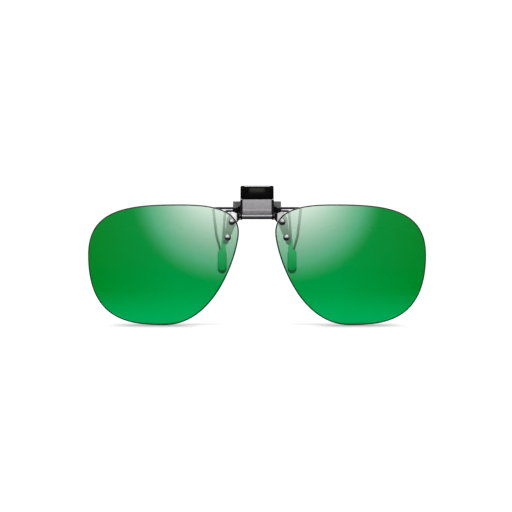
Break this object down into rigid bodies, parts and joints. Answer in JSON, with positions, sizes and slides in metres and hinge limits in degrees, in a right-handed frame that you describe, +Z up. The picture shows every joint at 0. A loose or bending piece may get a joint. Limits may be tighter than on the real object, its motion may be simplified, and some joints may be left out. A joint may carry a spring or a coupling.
{
  "type": "clip-on flip-up lenses",
  "caption": "Green tinted lenses on a sprung clip that grips spectacles by pinch-open wire prongs; the lenses flip up about a rod",
  "frame": {"origin": "Centre of the grip: on the mirror plane, midway between the front and rear pads, at the middle of the pads' height", "axes": "+X to the right as seen from in front, -Y to the front (the side the lenses are on), +Z up"},
  "size_m": [0.128, 0.0202, 0.0527],
  "materials": {
    "green_lens": "polished, tinted green right through, with a light mirror coat",
    "black_steel": "black plated, satin",
    "grey_steel": "satin",
    "gunmetal": "dark, polished",
    "wire_steel": "drawn, bright",
    "black_plastic": "moulded, satin",
    "clear_plastic": "clear",
    "green_pvc": "soft, green, slightly clear",
    "dark_pvc": "soft, dark grey"
  },
  "bodies": {
    "front_jaw": {"front_jaw_frame": "black_steel", "thumb_cap": "black_plastic", "click_spring": "grey_steel", "front_prong_left": "wire_steel", "front_prong_right": "wire_steel", "front_pad_left": "green_pvc", "front_pad_right": "green_pvc", "jaw_pin": "gunmetal", "jaw_spring": "wire_steel"},
    "rear_jaw": {"rear_jaw_frame": "grey_steel", "rear_prong_left": "wire_steel", "rear_prong_right": "wire_steel", "rear_pad_left": "dark_pvc", "rear_pad_right": "dark_pvc"},
    "lens_carrier": {"flip_rod": "gunmetal", "bracket_left": "grey_steel", "bracket_right": "grey_steel", "lens_left": "green_lens", "lens_right": "green_lens", "rivet_upper_left": "gunmetal", "rivet_upper_right": "gunmetal", "rivet_lower_left": "gunmetal", "rivet_lower_right": "gunmetal", "bushing_upper_left": "clear_plastic", "bushing_upper_right": "clear_plastic", "bushing_lower_left": "clear_plastic", "bushing_lower_right": "clear_plastic", "washer_upper_left": "grey_steel", "washer_upper_right": "grey_steel", "washer_lower_left": "grey_steel", "washer_lower_right": "grey_steel"}
  },
  "joints": [
    {"name": "jaw_hinge", "type": "hinge", "parent": "front_jaw", "child": "rear_jaw", "pos_m": [0, 0.0011, 0.019], "axis": [1, 0, 0], "range_deg": [0, 24], "stiffness_Nm_per_rad": 0.05, "springref_deg": -34.38, "deforming": ["jaw_spring"]},
    {"name": "flip_hinge", "type": "hinge", "parent": "front_jaw", "child": "lens_carrier", "pos_m": [0, -0.006, 0.0146], "axis": [-1, 0, 0], "range_deg": [0, 90]}
  ]
}
